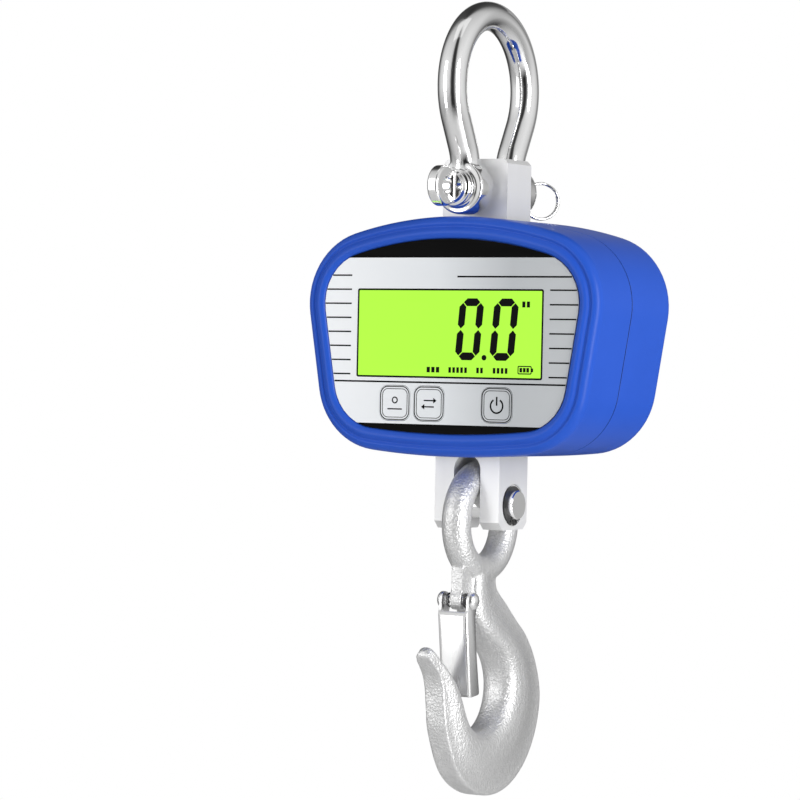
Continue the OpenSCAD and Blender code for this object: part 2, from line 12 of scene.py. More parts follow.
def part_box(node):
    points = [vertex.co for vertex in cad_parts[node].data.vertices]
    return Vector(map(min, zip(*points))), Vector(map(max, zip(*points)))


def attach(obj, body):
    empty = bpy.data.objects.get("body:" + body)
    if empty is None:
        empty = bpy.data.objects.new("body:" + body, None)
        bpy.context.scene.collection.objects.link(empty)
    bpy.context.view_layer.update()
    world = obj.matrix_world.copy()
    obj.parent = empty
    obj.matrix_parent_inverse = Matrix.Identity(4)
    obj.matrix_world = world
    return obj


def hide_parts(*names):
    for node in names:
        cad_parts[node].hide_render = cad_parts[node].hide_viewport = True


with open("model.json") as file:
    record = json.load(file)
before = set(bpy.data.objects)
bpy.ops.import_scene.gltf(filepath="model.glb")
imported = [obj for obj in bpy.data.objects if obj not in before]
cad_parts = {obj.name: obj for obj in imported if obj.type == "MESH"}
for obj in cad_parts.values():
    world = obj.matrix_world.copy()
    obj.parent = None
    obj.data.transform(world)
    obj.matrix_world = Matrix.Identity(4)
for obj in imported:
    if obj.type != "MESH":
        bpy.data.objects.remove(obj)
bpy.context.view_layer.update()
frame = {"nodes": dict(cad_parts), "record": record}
nodes = frame["nodes"]
MM = 0.001


def lo(node):
    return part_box(node)[0] / MM


def hi(node):
    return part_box(node)[1] / MM


# ---- numbers shared with the CAD model ------------------------------------------------------

CASE_TOP = hi("front_shell").z
CASE_BOTTOM = lo("front_shell").z
SEAM_Y = hi("front_shell").y
RIM_FRONT = lo("front_shell").y
REAR_Y = hi("rear_shell").y
PANEL_Y = lo("face_panel").y
TOP_R = 226
SHOULDER_R = 39.8
CORNER_R = 38.9
SHOULDER_A = 73.8
FLANK_A = 9.35
FLANK_L = 42.2
RIM_W = 12.3
WALL = 3
PIN_Z = -87.5
LATCH_PIVOT = Vector((0, -22.3, -311.5))


# ---- materials ------------------------------------------------------------------------------


def new_material(name):
    mat = bpy.data.materials.new(name)
    mat.use_nodes = True
    tree = mat.node_tree
    return mat, tree, tree.nodes["Principled BSDF"]


def node(tree, kind, inputs=None, **fields):
    made = tree.nodes.new(kind)
    for key, value in fields.items():
        setattr(made, key, value)
    for key, value in (inputs or {}).items():
        made.inputs[key].default_value = value
    return made


def noise(tree, scale, stretch=(1, 1, 1)):
    """Noise over the object's own coordinates, in metres."""
    coords = node(tree, "ShaderNodeTexCoord")
    mapping = node(tree, "ShaderNodeMapping", {"Scale": stretch})
    made = node(tree, "ShaderNodeTexNoise", {"Scale": scale})
    tree.links.new(coords.outputs["Object"], mapping.inputs["Vector"])
    tree.links.new(mapping.outputs[0], made.inputs["Vector"])
    return made.outputs[0]


def ramp(tree, source, stops):
    """A colour ramp over a value. stops are (place, colour) pairs."""
    made = node(tree, "ShaderNodeValToRGB")
    elements = made.color_ramp.elements
    while len(elements) < len(stops):
        elements.new(0.5)
    for element, (place, colour) in zip(elements, stops):
        element.position = place
        element.color = (*colour, 1)
    tree.links.new(source, made.inputs[0])
    return made.outputs[0]


def grey(v):
    return (v, v, v)


def bump(tree, bsdf, source, distance, strength=1.0):
    """Bump on a shader from a height output. The distance is in metres."""
    made = node(tree, "ShaderNodeBump", {"Strength": strength, "Distance": distance})
    tree.links.new(source, made.inputs["Height"])
    tree.links.new(made.outputs[0], bsdf.inputs["Normal"])


def surface(name, colours, rough, metallic, scale, stretch=(1, 1, 1), grain=None, specular=0.5):
    """A varied surface: colour and roughness each run between two values over a soft noise.
    grain is (scale, depth in metres) of a fine bump."""
    mat, tree, bsdf = new_material(name)
    soft = noise(tree, scale, stretch)
    for socket, (low, high) in (("Base Color", colours), ("Roughness", map(grey, rough))):
        tree.links.new(ramp(tree, soft, [(0.1, low), (0.9, high)]), bsdf.inputs[socket])
    bsdf.inputs["Metallic"].default_value = metallic
    bsdf.inputs["Specular IOR Level"].default_value = specular
    if grain:
        bump(tree, bsdf, noise(tree, grain[0]), grain[1])
    return mat


PANEL_HALF = 0.078      # half the panel's width, in metres like the next two
ARCH_Z = -0.1258        # the panel is printed black above this height
STRIP_Z = -0.2161       # and below this one


def panel_material():
    """Silver overlay with a printed black arch at the top and a black strip at the bottom; its
    silver is painted lighter at the left and darker at the right, a painted reflection.
    """
    mat, tree, bsdf = new_material("silver_panel")
    coords = node(tree, "ShaderNodeTexCoord")
    axes = node(tree, "ShaderNodeSeparateXYZ")
    tree.links.new(coords.outputs["Object"], axes.inputs[0])
    across = node(tree, "ShaderNodeMapRange", {"From Min": -PANEL_HALF, "From Max": PANEL_HALF})
    tree.links.new(axes.outputs["X"], across.inputs["Value"])
    # painted reflection: the silver runs from light at the left edge to grey towards the right
    silver_painted_reflection = ramp(tree, across.outputs[0], [
        (0.0, (0.92, 0.94, 0.96)), (0.45, (0.76, 0.785, 0.81)),
        (0.75, (0.49, 0.51, 0.53)), (1.0, (0.52, 0.54, 0.555))])
    above = node(tree, "ShaderNodeMath", {1: ARCH_Z}, operation="GREATER_THAN")
    below = node(tree, "ShaderNodeMath", {1: STRIP_Z}, operation="LESS_THAN")
    black = node(tree, "ShaderNodeMath", operation="MAXIMUM")
    tree.links.new(axes.outputs["Z"], above.inputs[0])
    tree.links.new(axes.outputs["Z"], below.inputs[0])
    tree.links.new(above.outputs[0], black.inputs[0])
    tree.links.new(below.outputs[0], black.inputs[1])
    mix = node(tree, "ShaderNodeMix", {7: (0.001, 0.001, 0.001, 1)}, data_type="RGBA")
    tree.links.new(black.outputs[0], mix.inputs[0])
    tree.links.new(silver_painted_reflection, mix.inputs[6])
    tree.links.new(mix.outputs[2], bsdf.inputs["Base Color"])
    brushed = noise(tree, 300, (0.06, 1, 1))
    tree.links.new(ramp(tree, brushed, [(0.3, grey(0.30)), (0.7, grey(0.42))]),
                   bsdf.inputs["Roughness"])
    bsdf.inputs["Specular IOR Level"].default_value = 0.03
    bump(tree, bsdf, brushed, 0.00002, 0.4)
    return mat


def lit_material(name, colour, strength):
    """The lit display: a backlight that is a little uneven."""
    mat, tree, bsdf = new_material(name)
    glow = ramp(tree, noise(tree, 18), [(0.2, tuple(0.94 * c for c in colour)), (0.8, colour)])
    tree.links.new(glow, bsdf.inputs["Emission Color"])
    bsdf.inputs["Emission Strength"].default_value = strength
    bsdf.inputs["Base Color"].default_value = (0.01, 0.02, 0.002, 1)
    bsdf.inputs["Roughness"].default_value = 0.15
    bsdf.inputs["Specular IOR Level"].default_value = 0.2
    return mat


LIME = (0.44, 1.0, 0.02)
SURFACES = {            # colours, roughness, metallic, noise scale and the rest of surface()
    "polished_steel": ((grey(0.95), grey(0.90)), (0.06, 0.15), 1.0, 35, {"grain": (900, 0.000004)}),
    "plated_bar": ((grey(0.80), grey(0.75)), (0.38, 0.50), 0.38, 90,
                   {"stretch": (1, 1, 0.15), "grain": (1400, 0.00001)}),
    "dark_steel": ((grey(0.16), grey(0.09)), (0.30, 0.48), 0.9, 150, {"grain": (1200, 0.00001)}),
    "zinc_steel": ((grey(0.93), grey(0.85)), (0.20, 0.34), 1.0, 70,
                   {"stretch": (1, 1, 0.2), "grain": (1500, 0.000006)}),
    "galvanised": ((grey(0.82), grey(0.62)), (0.32, 0.50), 0.75, 170, {"grain": (800, 0.0006)}),
    "blue_shell": (((0.020, 0.092, 0.54), (0.018, 0.086, 0.51)), (0.30, 0.38), 0.0, 30,
                   {"specular": 0.18}),
    "black_rubber": ((grey(0.018), grey(0.03)), (0.6, 0.8), 0.0, 200, {"grain": (1500, 0.00003)}),
    "print_black": ((grey(0.002), grey(0.004)), (0.45, 0.6), 0.0, 300, {"specular": 0.05}),
    "black_plastic": ((grey(0.02), grey(0.03)), (0.35, 0.5), 0.0, 200, {"grain": (1500, 0.00002)}),
    "white_plastic": ((grey(0.8), grey(0.74)), (0.4, 0.55), 0.0, 200, {}),
    "board_green": (((0.02, 0.16, 0.05), (0.015, 0.11, 0.04)), (0.3, 0.4), 0.0, 300, {}),
    "battery_wrap": (((0.05, 0.08, 0.30), (0.04, 0.06, 0.24)), (0.2, 0.3), 0.0, 100, {}),
    "cable_grey": ((grey(0.25), grey(0.2)), (0.5, 0.6), 0.0, 200, {}),
    "cable_red": (((0.45, 0.02, 0.02), (0.36, 0.02, 0.02)), (0.4, 0.5), 0.0, 200, {}),
}
materials = {name: surface(name, *plain, **extra) for name, (*plain, extra) in SURFACES.items()}
materials["display_lens"] = lit_material("display_lens", LIME, 1.0)
materials["lcd_glass"] = lit_material("lcd_glass", LIME, 0.8)
materials["silver_panel"] = panel_material()
slot_of = {s["node"]: s["material_slot"] for s in frame["record"]["subparts"]}


# ---- mesh helpers ---------------------------------------------------------------------------


def shade(obj, angle=35):
    """Smooth shading, with edges sharper than the angle kept crisp."""
    bm = bmesh.new()
    bm.from_mesh(obj.data)
    limit = math.radians(angle)
    for face in bm.faces:
        face.smooth = True
    for edge in bm.edges:
        edge.smooth = len(edge.link_faces) == 2 and edge.calc_face_angle(0) < limit
    bm.to_mesh(obj.data)
    bm.free()


def piece(name, verts, faces, slot, body, replaces=(), angle=35, material=None):
    """A mesh in millimetres becomes a piece that rides on a body, or on none while it is a tool."""
    mesh = bpy.data.meshes.new(name)
    mesh.from_pydata([(x * MM, y * MM, z * MM) for x, y, z in verts], [], faces)
    mesh.validate()
    obj = bpy.data.objects.new(name, mesh)
    bpy.context.scene.collection.objects.link(obj)
    bm = bmesh.new()
    bm.from_mesh(mesh)
    bmesh.ops.remove_doubles(bm, verts=bm.verts, dist=1e-7)
    bmesh.ops.recalc_face_normals(bm, faces=bm.faces)
    bm.to_mesh(mesh)
    bm.free()
    shade(obj, angle)
    mesh.materials.append(materials[material or slot])
    if body:
        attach(obj, body)
        if replaces:
            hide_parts(*replaces)
    return obj


def strip(rings, closed_path=False):
    """Faces that join rings of equal size, with a cap at each end of an open path."""
    n, m = len(rings[0]), len(rings)
    faces = []
    for j in range(m if closed_path else m - 1):
        a, b = j * n, (j + 1) % m * n
        for k in range(n):
            k2 = (k + 1) % n
            faces.append((a + k, a + k2, b + k2, b + k))
    if not closed_path:
        faces += [tuple(range(n - 1, -1, -1)), tuple(range((m - 1) * n, m * n))]
    return faces


def flat_list(rings):
    return [tuple(p) for r in rings for p in r]


def join_parts(parts):
    """Several (verts, faces) lists as one."""
    verts, faces = [], []
    for v, f in parts:
        faces += [tuple(i + len(verts) for i in face) for face in f]
        verts += list(v)
    return verts, faces


def on(c, r, a):
    """The point on a circle at an angle in degrees."""
    return c[0] + r * math.cos(math.radians(a)), c[1] + r * math.sin(math.radians(a))


def arc(c, r, a0, a1, n):
    return [on(c, r, a0 + (a1 - a0) * i / n) for i in range(n + 1)]


def turns(n):
    """n angles round a full turn, in radians."""
    return np.linspace(0, 2 * math.pi, n, endpoint=False)


def tube(path, radius, sides=24, closed=False, side=Vector((1, 0, 0))):
    """A round tube along a path. side is a direction that the path never takes."""
    pts = [Vector(p) for p in path]
    m = len(pts)
    rings = []
    for i, p in enumerate(pts):
        before = pts[i - 1] if i or closed else pts[i]
        after = pts[(i + 1) % m] if i < m - 1 or closed else pts[i]
        t = (after - before).normalized()
        u = (side - t * side.dot(t)).normalized()
        w = t.cross(u)
        rings.append([p + u * radius * math.cos(2 * math.pi * k / sides)
                      + w * radius * math.sin(2 * math.pi * k / sides) for k in range(sides)])
    return flat_list(rings), strip(rings, closed_path=closed)


def lathe(profile, origin, axis, sides):
    """A profile of (along, radius) turned about an axis, with flat ends."""
    axis = Vector(axis)
    u = axis.orthogonal().normalized()
    w = axis.cross(u)
    rings = []
    for along, r in profile:
        rings.append([Vector(origin) + axis * along + r * (
            u * math.cos(2 * math.pi * k / sides) + w * math.sin(2 * math.pi * k / sides))
            for k in range(sides)])
    return flat_list(rings), strip(rings)


def smooth_curve(points, steps):
    """Catmull-Rom curve through points of any dimension."""
    pts = [np.array(p, float) for p in points]
    pts = [2 * pts[0] - pts[1]] + pts + [2 * pts[-1] - pts[-2]]
    out = []
    for i in range(1, len(pts) - 2):
        a, b, c, d = pts[i - 1:i + 3]
        for k in range(steps):
            t = k / steps
            out.append(0.5 * (2 * b + (c - a) * t + (2 * a - 5 * b + 4 * c - d) * t ** 2
                              + (3 * b - a - 3 * c + d) * t ** 3))
    out.append(pts[-2])
    return out


def fillet(profile, radius, steps=4):
    """Rounds the inner corners of an open polyline."""
    out = [profile[0]]
    for i in range(1, len(profile) - 1):
        p, q, r = (np.array(profile[i + k], float) for k in (-1, 0, 1))
        la, lb = np.linalg.norm(p - q), np.linalg.norm(r - q)
        d = min(radius, 0.45 * la, 0.45 * lb)
        if d < 0.02:
            out.append(tuple(q))
            continue
        a, b = q + (p - q) / la * d, q + (r - q) / lb * d
        for k in range(steps + 1):
            t = k / steps
            out.append(tuple((1 - t) ** 2 * a + 2 * t * (1 - t) * q + t ** 2 * b))
    out.append(profile[-1])
    return out


def modify(obj, kind, **fields):
    """Adds a modifier, sets it and applies it."""
    mod = obj.modifiers.new(kind, kind)
    for key, value in fields.items():
        setattr(mod, key, value)
    dg = bpy.context.evaluated_depsgraph_get()
    mesh = bpy.data.meshes.new_from_object(obj.evaluated_get(dg))
    obj.modifiers.clear()
    old = obj.data
    obj.data = mesh
    bpy.data.meshes.remove(old)


def combine(obj, mesh, operation):
    tool = piece("cutter", *mesh, "black_plastic", None)
    modify(obj, "BOOLEAN", object=tool, operation=operation, solver="EXACT")
    bpy.data.objects.remove(tool)


def cut(obj, tools):
    """Subtracts closed meshes, each a (verts, faces) pair, from a piece."""
    combine(obj, join_parts(tools), "DIFFERENCE")


def box_mesh(a, b):
    x, y, z = zip(a, b)
    verts = [(x[i], y[j], z[k]) for i in (0, 1) for j in (0, 1) for k in (0, 1)]
    return verts, [(0, 1, 3, 2), (4, 6, 7, 5), (0, 4, 5, 1), (2, 3, 7, 6), (0, 2, 6, 4),
                   (1, 5, 7, 3)]


def rounded(w, h, r, x=0, z=0, n=8):
    """A rounded rectangle as [x, z] points."""
    return [p for i, (sx, sz) in enumerate(((1, 1), (-1, 1), (-1, -1), (1, -1)))
            for p in arc((x + sx * (w / 2 - r), z + sz * (h / 2 - r)), r, 90 * i, 90 * i + 90, n)]


def prism(shape, y0, y1):
    """An outline in XZ as a solid from y0 to y1."""
    rings = [[(x, y, z) for x, z in shape] for y in (y0, y1)]
    return flat_list(rings), strip(rings)


def frame_strip(outer, inner, y0, y1):
    """The solid between two outlines with the same number of points."""
    corners = ((outer, y0), (inner, y0), (inner, y1), (outer, y1))
    rings = [[(x, y, z) for x, z in shape] for shape, y in corners]
    return flat_list(rings), strip(rings, closed_path=True)


# ---- housing --------------------------------------------------------------------------------


def outline(d, n=14):
    """The housing's outline in XZ, inset by d: the same four arcs a side as in the CAD model."""
    lean = math.radians(FLANK_A)
    shoulder = on((0, CASE_TOP - TOP_R), TOP_R - SHOULDER_R, SHOULDER_A)
    step = SHOULDER_R - CORNER_R
    corner = (shoulder[0] + step * math.cos(lean) - FLANK_L * math.sin(lean),
              shoulder[1] - step * math.sin(lean) - FLANK_L * math.cos(lean))
    h = corner[1] - CASE_BOTTOM
    bottom_r = (corner[0] ** 2 + h ** 2 - CORNER_R ** 2) / (2 * (h - CORNER_R))
    bottom_a = math.degrees(math.asin(corner[0] / (bottom_r - CORNER_R)))
    half = arc((0, CASE_TOP - TOP_R), TOP_R - d, 90, SHOULDER_A, n)
    half += arc(shoulder, SHOULDER_R - d, SHOULDER_A, -FLANK_A, n)[1:]
    half += arc(corner, CORNER_R - d, -FLANK_A, -90 + bottom_a, n)
    half += arc((0, CASE_BOTTOM + bottom_r), bottom_r - d, -90 + bottom_a, -90, n)[1:]
    return half + [(-x, z) for x, z in half[-2:0:-1]]


def shell_rings(profile):
    return [[(x, y, z) for x, z in outline(d)] for d, y in profile]


SEAM_V = 0.5            # the seam's small V groove
PANEL_BACK = PANEL_Y + 1.2      # the front shell's ledge round the panel
CASE_SCREWS = ((66, -140), (61, -212))
SOCKET = (30, -219)

# the raised rim: inset from the outline, and distance behind the rim's foremost edge
rim = [(0, 6.6), (0.35, 4.5), (1.3, 2.8), (2.7, 1.6), (4.0, 1.1), (4.9, 1.5), (5.6, 1.8), (6.4, 1.4),
       (7.6, 0.4), (8.9, 0), (10.1, 0.3), (11.3, 1.0), (RIM_W - 0.2, 2.1)]
rim_line = smooth_curve([(d, RIM_FRONT + y) for d, y in rim] + [(RIM_W, PANEL_BACK)], 4)
front_profile = [(0, SEAM_Y - SEAM_V), (0, -14), (0, RIM_FRONT + 7.1)]
front_profile += [tuple(p) for p in rim_line]
front_profile += [(18, PANEL_BACK), (18, PANEL_Y + 4), (WALL, PANEL_Y + 4), (WALL, SEAM_Y),
                  (SEAM_V, SEAM_Y)]
rings = shell_rings(front_profile)
front = piece("front_housing", flat_list(rings), strip(rings, closed_path=True), "blue_shell",
              "scale", ["front_shell"], 40)
seal_cut = [box_mesh((-23.05, -15.8, -140), (23.05, 15.8, -90)),
            box_mesh((-23.05, -18.3, -250), (23.05, 18.3, -220))]
cut(front, seal_cut)
shade(front, 40)

rear_profile = [(WALL, REAR_Y - 3), (WALL, SEAM_Y), (SEAM_V, SEAM_Y), (0, SEAM_Y + SEAM_V), (0, 20),
                (0, REAR_Y - 6.5)]
rear_profile += [(5 - 5 * math.cos(a), REAR_Y - 5 + 5 * math.sin(a))
                 for a in np.linspace(0.05, math.pi / 2, 9)]
rings = shell_rings(rear_profile)
rear = piece("rear_housing", flat_list(rings), strip(rings), "blue_shell", "scale",
             ["rear_shell"], 40)
lid_size = hi("battery_cover") - lo("battery_cover")
lid_z = (hi("battery_cover").z + lo("battery_cover").z) / 2
rear_cut = [prism(rounded(lid_size.x + 0.6, lid_size.z + 0.6, 7, 0, lid_z),
                  REAR_Y - 1.8, REAR_Y + 2),
            prism(rounded(84, 50, 5, 0, lid_z), 34, REAR_Y - 1)]
for x, z in CASE_SCREWS:
    rear_cut += [lathe([(0, 4), (6, 4)], (s * x, REAR_Y - 4, z), (0, 1, 0), 40) for s in (-1, 1)]
rear_cut.append(lathe([(0, 5.6), (9, 5.6)], (SOCKET[0], REAR_Y - 6, SOCKET[1]), (0, 1, 0), 40))
for tool in seal_cut + rear_cut:
    cut(rear, [tool])
shade(rear, 40)

# ---- shackle ---------------------------------------------------------------------------------

ROD_R = 8
BOW_R = 39.75
CROWN_Z = ROD_R - BOW_R
FLARE = math.radians(28)
EAR_IN = 17
EAR_OUT = 31
EAR_R = 14.5
EAR_Y = (EAR_IN + EAR_OUT) / 2
BEND_R = 30
PIN_BORE_R = 7.56
LIMB_L = (BOW_R * math.cos(FLARE) - BEND_R * (1 - math.cos(FLARE)) - EAR_Y) / math.sin(FLARE)
LIMB_Z = CROWN_Z - BOW_R * math.sin(FLARE) - LIMB_L * math.cos(FLARE) - BEND_R * math.sin(FLARE)


def about_pin(profile, side):
    """A closed profile of (y, radius) turned about the pin's axis. side is -1 at the front."""
    rings = [[(r * math.cos(a), side * y, PIN_Z + r * math.sin(a)) for a in turns(96)]
             for y, r in profile]
    return flat_list(rings), strip(rings, closed_path=True)


rear_bend = arc((EAR_Y + BEND_R, LIMB_Z), BEND_R, 152, 180, 12)
bow_line = [(-EAR_Y, PIN_Z + 8)] + [(-y, z) for y, z in rear_bend[::-1]]
bow_line += arc((0, CROWN_Z), BOW_R, 208, -28, 90) + rear_bend + [(EAR_Y, PIN_Z + 8)]
ear = fillet([(EAR_IN, 5), (EAR_IN, EAR_R), (EAR_OUT, EAR_R), (EAR_OUT, 11), (EAR_OUT + 1.5, 10.5),
              (EAR_OUT + 1.5, 5)], 2.2)
bow = piece("bow", *join_parts([tube([(0, y, z) for y, z in bow_line], ROD_R, 48), about_pin(ear, 1),
                                about_pin(ear, -1)]), "polished_steel", "shackle", ["shackle_bow"])
modify(bow, "REMESH", mode="VOXEL", voxel_size=0.0006)
modify(bow, "SMOOTH", factor=0.5, iterations=10)
cut(bow, [lathe([(-34, PIN_BORE_R), (34, PIN_BORE_R)], (0, 0, PIN_Z), (0, 1, 0), 96)])
shade(bow, 40)

# screw pin: collar, flat eye head, shank and tail
HEAD_Y = -48.5
HEAD_R = 11
HEAD_T = 6.8
HEAD_MID = (-44, PIN_Z)
EDGE = 1.0              # the head's rounded edge
EYE_HOLE_R = 4.3
TAIL_HOLE_Y = 42
shank = [(-41, 0.05), (-41, 8.2), (-38, 8.6), (-37, 10.4), (-33.3, 10.4), (-32.7, 10), (-32.7, 7.5),
         (34.5, 7.5), (36, 5), (47, 5), (48, 4), (48, 0.05)]
head = arc((HEAD_Y, PIN_Z), HEAD_R, 75, 285, 40) + [(-38.5, PIN_Z - 8.2), (-38.5, PIN_Z + 8.2)]


def inset_head(d):
    """The head's outline, moved by d towards its middle."""
    share = [d / math.hypot(y - HEAD_MID[0], z - HEAD_MID[1]) for y, z in head]
    return [(y + (HEAD_MID[0] - y) * q, z + (HEAD_MID[1] - z) * q) for (y, z), q in zip(head, share)]


head_rings = [[(x, y, z) for y, z in inset_head(d)] for x, d in (
    (-HEAD_T / 2, EDGE), (-HEAD_T / 2 + EDGE, 0), (HEAD_T / 2 - EDGE, 0), (HEAD_T / 2, EDGE))]
pin = piece("screw_pin", *join_parts([lathe(shank, (0, 0, PIN_Z), (0, 1, 0), 72),
                                      (flat_list(head_rings), strip(head_rings))]),
            "polished_steel", "screw_pin", ["shackle_pin"])
modify(pin, "REMESH", mode="VOXEL", voxel_size=0.0004)
modify(pin, "SMOOTH", factor=0.5, iterations=4)
hole = [(HEAD_T / 2 - 0.7, EYE_HOLE_R), (HEAD_T / 2, EYE_HOLE_R + 0.6), (5, 5.6)]
hole = [(-x, r) for x, r in hole[::-1]] + hole
cut(pin, [lathe(hole, (0, HEAD_Y, PIN_Z), (1, 0, 0), 64)])
ring_turn = Matrix.Rotation(math.radians(45), 4, "Z") @ Matrix.Rotation(math.radians(20), 4, "Y")
ring_frame = Matrix.Translation((0, TAIL_HOLE_Y, PIN_Z)) @ ring_turn
cut(pin, [lathe([(-10, 3.3), (10, 3.3)], (0, TAIL_HOLE_Y, PIN_Z), ring_turn.to_3x3().col[2], 48)])
shade(pin, 40)

# split ring: two flat coils with a step from one to the other
RING_R = 10
RING_WIRE_R = 0.8
COIL_STEP = 0.83        # each coil's middle lies this far to a side of the ring's middle
coil = []
step = math.radians(24)
for t in np.linspace(step * 1.25, 4 * math.pi - step * 1.25, 190):
    u = min(max((t - 2 * math.pi + step) / (2 * step), 0), 1)
    a = t + math.radians(70)
    across = COIL_STEP * (2 * u * u * (3 - 2 * u) - 1)
    coil.append(ring_frame @ Vector((RING_R + RING_R * math.cos(a), across, RING_R * math.sin(a))))
piece("split_ring", *tube(coil, RING_WIRE_R, 16, side=ring_turn.to_3x3().col[1]), "polished_steel",
      "split_ring", ["pin_ring"])

# ---- hook --------------------------------------------------------------------------------------

HOOK_PIN_Z = -259.4
EYE_R = 26
EYE_ROD = 8
EYE_Z = HOOK_PIN_Z + 8.1 - (EYE_R - EYE_ROD)
BOWL_C = (-4, -360)
BOWL_R = 24
BACK_C = (7.5, -367)
BACK_R = 53

# stations along the hook: the saddle's (y, z), the back's (y, z), and the half thickness at each
bowl = []
for a in range(10, -135, -24):
    u = (58 - a) / 216
    bowl.append((*on(BOWL_C, BOWL_R, a), *on(BACK_C, BACK_R, a - 14 * (1 - u)), 11.6 - 1.4 * u, 6.4))
stations = [(-11, -292, 11, -292, 6.2, 5), (-13, -297, 9.5, -297, 7.6, 5.5),
            (-14, -308, 10.5, -306, 8, 5.5), (-13.5, -320, 21.5, -315.5, 9, 6),
            (-6, -329.5, 32.5, -324.8, 10.4, 6.2), (8.7, -339.6, 43.5, -333.8, 11.4, 6.4),
            (15.9, -346.6, 54.3, -348.5, 11.5, 6.4)]
stations += bowl
stations += [(-25.2, -371, -42, -383, 10, 6.2), (-30, -361.5, -45.2, -368.5, 9.4, 6),
             (-36, -353.9, -46.6, -358.6, 8.7, 6), (-42.5, -347.5, -49.5, -350.8, 7.8, 5.8),
             (-47.8, -342.5, -53.8, -346, 6.6, 5.4), (-51.6, -338.4, -57.6, -342.2, 5.4, 4.8),
             (-53.6, -336.2, -59.2, -339.8, 4.2, 3.9), (-55.4, -335, -58.6, -337.2, 2.4, 2.1)]
# half of one section: share of the way from the saddle to the back, share of the half thickness,
# and how far that is the back's half thickness rather than the saddle's
half = [(0, 0.30, 0), (0.02, 0.55, 0), (0.06, 0.78, 0), (0.13, 0.93, 0), (0.22, 1, 0),
        (0.36, 1, 0), (0.48, 0.98, 0.1), (0.6, 0.97, 0.35), (0.7, 0.97, 0.6), (0.8, 0.98, 0.8),
        (0.87, 1.0, 0.92), (0.93, 1.04, 1), (0.965, 1.04, 1), (0.99, 0.96, 1), (1, 0.82, 1)]
hook_rings = []
for yi, zi, yo, zo, wide, thin in smooth_curve(stations, 6):
    row = [(w * (wide * (1 - edge) + thin * edge), yi + (yo - yi) * q, zi + (zo - zi) * q)
           for q, w, edge in half]
    hook_rings.append(row + [(-x, y, z) for x, y, z in row[::-1]])
eye_path = [(0, EYE_R * math.cos(a), EYE_Z + EYE_R * math.sin(a)) for a in turns(120)]
boss_line = [(-6, -292), (-23, -291.5), (-24.5, -293), (-24.5, -306), (-26.5, -309), (-26.5, -313.5),
             (-24, -316.5), (-8, -318)]
boss_rings = [[(x, y, z) for y, z in fillet(boss_line, 1.5)] for x in (-3.5, 3.5)]
hook = piece("hook_forging", *join_parts([
    (flat_list(hook_rings), strip(hook_rings)), tube(eye_path, EYE_ROD, 48, True),
    (flat_list(boss_rings), strip(boss_rings))]), "galvanised", "hook", ["hook"])
modify(hook, "REMESH", mode="VOXEL", voxel_size=0.0007)
modify(hook, "SMOOTH", factor=0.5, iterations=5)
cut(hook, [lathe([(-20, 2.51), (20, 2.51)], LATCH_PIVOT, (1, 0, 0), 40)])
shade(hook, 50)

rivet = [(-12.4, 0.02), (-12.3, 1.4), (-11.9, 2.6), (-11.2, 3.7), (-10.3, 4.5), (-9.6, 4.75),
         (-9.5, 4.6), (-9.5, 2.5)]
rivet += [(-x, r) for x, r in rivet[::-1]]
piece("latch_rivet", *lathe(rivet, LATCH_PIVOT, (1, 0, 0), 48), "zinc_steel", "hook", ["latch_pin"])
SPRING_R = 3.5
SPRING_PITCH = 1.35
springs = []
for s in (-1, 1):
    wire = [(s * (4.3 + SPRING_PITCH * t / (2 * math.pi)), LATCH_PIVOT.y + SPRING_R * math.sin(t),
             LATCH_PIVOT.z + SPRING_R * math.cos(t)) for t in np.linspace(0, 2.6 * math.pi, 60)]
    springs.append(tube(wire, 0.55, 12))
piece("spring_coils", *join_parts(springs), "dark_steel", "hook", ["latch_spring"])

# latch: a folded channel, cut to its side outline
LATCH_W = 18.6
SHEET = 1.6
LEAN = math.radians(7)
LATCH_L = 52
WEB_Y = -7.8            # the channel's outer face, from the pivot
w1, w2 = LATCH_W / 2, LATCH_W / 2 - SHEET
section = fillet([(w1, 6), (w1, WEB_Y), (-w1, WEB_Y), (-w1, 6)], 2.4, 6)
section += fillet([(-w2, 6), (-w2, WEB_Y + SHEET), (w2, WEB_Y + SHEET), (w2, 6)], 0.9, 4)
channel = [[(x, y, z) for x, y in section] for z in (-LATCH_L, 6)]
latch = piece("folded_latch", flat_list(channel), strip(channel), "zinc_steel", None)
side = fillet([(WEB_Y, -7), (-4.9, -3.5), (-4.9, 1), (-3, 4.2), (1, 4.8), (4.2, 2.4), (4.9, -2),
               (1.6, -9), (1.4, -30), (2.4, -LATCH_L + 0.01), (-7.9, -LATCH_L + 0.01),
               (-7.9, -7.1)], 2.0)
side_rings = [[(x, y, z) for y, z in side] for x in (-20, 20)]
combine(latch, (flat_list(side_rings), strip(side_rings)), "INTERSECT")
cut(latch, [lathe([(-20, 2.56), (20, 2.56)], (0, 0, 0), (1, 0, 0), 40)])
modify(latch, "BEVEL", width=0.0003, segments=2, limit_method="ANGLE",
       angle_limit=math.radians(50))
latch.data.transform(Matrix.Translation(LATCH_PIVOT * MM) @ Matrix.Rotation(LEAN, 4, "X"))
shade(latch, 35)
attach(latch, "latch")
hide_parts("latch")

# ---- panel, display and keys -------------------------------------------------------------------


def print_piece(name, parts, body="scale"):
    piece(name, *join_parts(parts), "black_plastic", body, material="print_black")


FILM = 0.06             # printed marks stand this far out, so that they show
THIN = 0.03             # the display's film and its segments
TOUCH = 0.001           # a mark starts this far in front of what it is printed on


def bar(x0, z0, x1, z1):
    return box_mesh((x0, PANEL_Y - FILM, z0), (x1, PANEL_Y - TOUCH, z1))


def panel_edge(z):
    """Half the panel's width at a height."""
    pts = [p for p in outline(RIM_W + 0.3) if p[0] > 0]
    for (xa, za), (xb, zb) in zip(pts, pts[1:]):
        if min(za, zb) <= z <= max(za, zb) and za != zb:
            return xa + (xb - xa) * (z - za) / (zb - za)
    return 0


